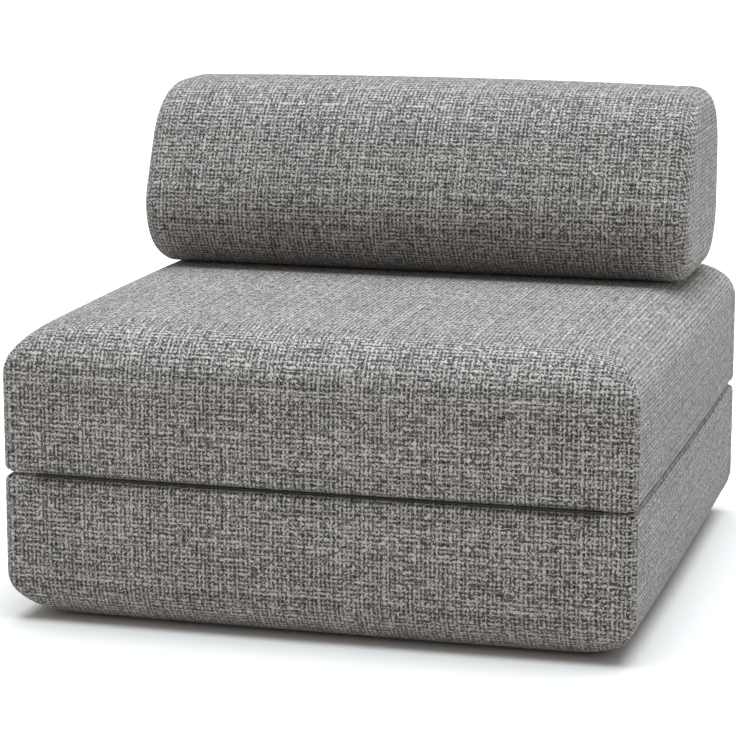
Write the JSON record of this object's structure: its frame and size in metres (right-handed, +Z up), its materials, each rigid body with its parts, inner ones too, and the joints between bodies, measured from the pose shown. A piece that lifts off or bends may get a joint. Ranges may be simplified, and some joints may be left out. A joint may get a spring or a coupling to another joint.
{
  "type": "convertible chair bed",
  "caption": "Low fabric foam chair of two stacked slab cushions and a loaf-shaped back bolster that folds out on two fabric hinges into a single guest bed.",
  "frame": {"origin": "on the floor, under the middle of the closed chair", "axes": "+X to the sitter's left along the width, +Y towards the rear, +Z up"},
  "size_m": [0.72, 0.7383, 0.5683],
  "materials": {
    "woven_cover_fabric": "matte",
    "foam": "matte",
    "grip_cloth": "matte",
    "zip_tape": "matte",
    "zip_coil": "satin",
    "zip_metal": "satin"
  },
  "bodies": {
    "lower_cushion": {"lower_cover_shell": "woven_cover_fabric", "lower_cover_top_panel": "woven_cover_fabric", "lower_foam_core": "foam", "lower_grip_sheet": "grip_cloth", "front_hinge_strip_lower": "woven_cover_fabric", "lower_zip_tapes": "zip_tape", "lower_zip_coil": "zip_coil", "lower_zip_stops": "zip_metal"},
    "seat_cushion": {"seat_cover_shell": "woven_cover_fabric", "seat_cover_base_panel": "woven_cover_fabric", "seat_foam_core": "foam", "front_hinge_strip_seat": "woven_cover_fabric", "rear_hinge_strip_seat": "woven_cover_fabric", "seat_zip_tapes": "zip_tape", "seat_zip_coil": "zip_coil", "seat_zip_stops": "zip_metal"},
    "back_bolster": {"bolster_cover_wrap": "woven_cover_fabric", "bolster_left_end_panel": "woven_cover_fabric", "bolster_right_end_panel": "woven_cover_fabric", "bolster_foam_core": "foam", "rear_hinge_strip_bolster": "woven_cover_fabric", "bolster_zip_tapes": "zip_tape", "bolster_zip_coil": "zip_coil", "bolster_zip_stops": "zip_metal"},
    "lower_zip_slider": {"lower_zip_slider": "zip_metal"},
    "lower_zip_puller": {"lower_zip_puller": "zip_metal"},
    "seat_zip_slider": {"seat_zip_slider": "zip_metal"},
    "seat_zip_puller": {"seat_zip_puller": "zip_metal"},
    "bolster_zip_slider": {"bolster_zip_slider": "zip_metal"},
    "bolster_zip_puller": {"bolster_zip_puller": "zip_metal"}
  },
  "joints": [
    {"name": "seat_fold", "type": "hinge", "parent": "lower_cushion", "child": "seat_cushion", "pos_m": [0, -0.3689, 0.17015], "axis": [1, 0, 0], "range_deg": [0, 180]},
    {"name": "bolster_fold", "type": "hinge", "parent": "seat_cushion", "child": "back_bolster", "pos_m": [0, 0.3411, 0.3403], "axis": [1, 0, 0], "range_deg": [-180, 0]},
    {"name": "lower_zip_slide", "type": "slide", "parent": "lower_cushion", "child": "lower_zip_slider", "axis": [-1, 0, 0], "range_m": [0, 0.5814]},
    {"name": "lower_puller_swing", "type": "hinge", "parent": "lower_zip_slider", "child": "lower_zip_puller", "pos_m": [0.2907, 0.36765, 0.126], "axis": [0, 0, -1], "range_deg": [0, 180]},
    {"name": "seat_zip_slide", "type": "slide", "parent": "seat_cushion", "child": "seat_zip_slider", "axis": [-1, 0, 0], "range_m": [0, 0.5814]},
    {"name": "seat_puller_swing", "type": "hinge", "parent": "seat_zip_slider", "child": "seat_zip_puller", "pos_m": [0.2907, 0.36765, 0.2143], "axis": [0, 0, -1], "range_deg": [0, 180]},
    {"name": "bolster_zip_slide", "type": "slide", "parent": "back_bolster", "child": "bolster_zip_slider", "axis": [-1, 0, 0], "range_m": [0, 0.5814]},
    {"name": "bolster_puller_swing", "type": "hinge", "parent": "bolster_zip_slider", "child": "bolster_zip_puller", "pos_m": [0.2907, 0.31265, 0.4523], "axis": [0, 0, -1], "range_deg": [0, 180]}
  ],
  "couplings": [
    {"joint": "bolster_fold", "follows": "seat_fold", "ratio": -1}
  ]
}
